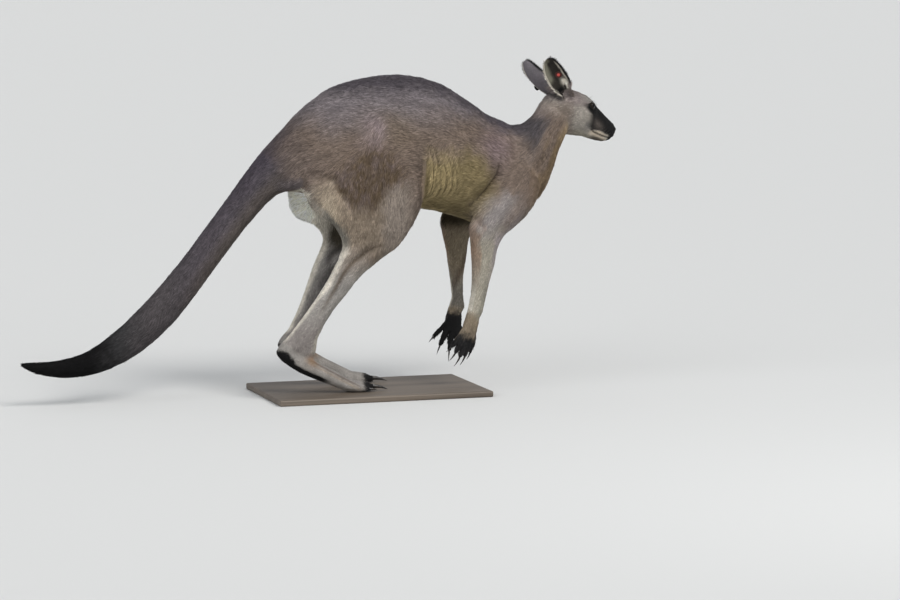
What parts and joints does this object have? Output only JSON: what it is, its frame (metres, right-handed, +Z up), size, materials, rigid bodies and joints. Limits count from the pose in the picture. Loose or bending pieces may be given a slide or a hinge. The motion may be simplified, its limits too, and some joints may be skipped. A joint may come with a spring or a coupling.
{
  "type": "kangaroo model",
  "caption": "Life-size still model of an adult male eastern grey kangaroo leaning forward on both hind feet, hands hanging and tail trailing, on a flat display base.",
  "frame": {"origin": "middle of the underside of the whole model's box, on the floor", "axes": "+X along the body from tail to muzzle, +Y to the animal's left, +Z up"},
  "size_m": [1.869, 0.4, 1.0029],
  "materials": {
    "coat": "short dense grey-brown fur",
    "claw": "dark horn",
    "eye": "wet dark brown",
    "nose": "bare grained black skin",
    "red_tag": "satin moulded",
    "dark_tag": "satin moulded",
    "base": "dark stained board, satin"
  },
  "bodies": {
    "root": {"claw_fifth_finger_left": "claw", "claw_fifth_finger_right": "claw", "claw_fifth_toe_left": "claw", "claw_fifth_toe_right": "claw", "claw_first_finger_left": "claw", "claw_first_finger_right": "claw", "claw_fourth_finger_left": "claw", "claw_fourth_finger_right": "claw", "claw_fourth_toe_left": "claw", "claw_fourth_toe_right": "claw", "claw_second_finger_left": "claw", "claw_second_finger_right": "claw", "claw_second_toe_left": "claw", "claw_second_toe_right": "claw", "claw_third_finger_left": "claw", "claw_third_finger_right": "claw", "claw_third_toe_left": "claw", "claw_third_toe_right": "claw", "ear_left": "coat", "ear_right": "coat", "ear_tag_left": "dark_tag", "ear_tag_right": "red_tag", "eye_left": "eye", "eye_right": "eye", "foot_left": "coat", "foot_right": "coat", "forearm_left": "coat", "forearm_right": "coat", "hand_left": "coat", "hand_right": "coat", "head": "coat", "neck": "coat", "nose": "nose", "shank_left": "coat", "shank_right": "coat", "stand_base": "base", "tail_middle": "coat", "tail_root": "coat", "tail_tip": "coat", "thigh_left": "coat", "thigh_right": "coat", "trunk": "coat", "upper_arm_left": "coat", "upper_arm_right": "coat"}
  },
  "joints": []
}
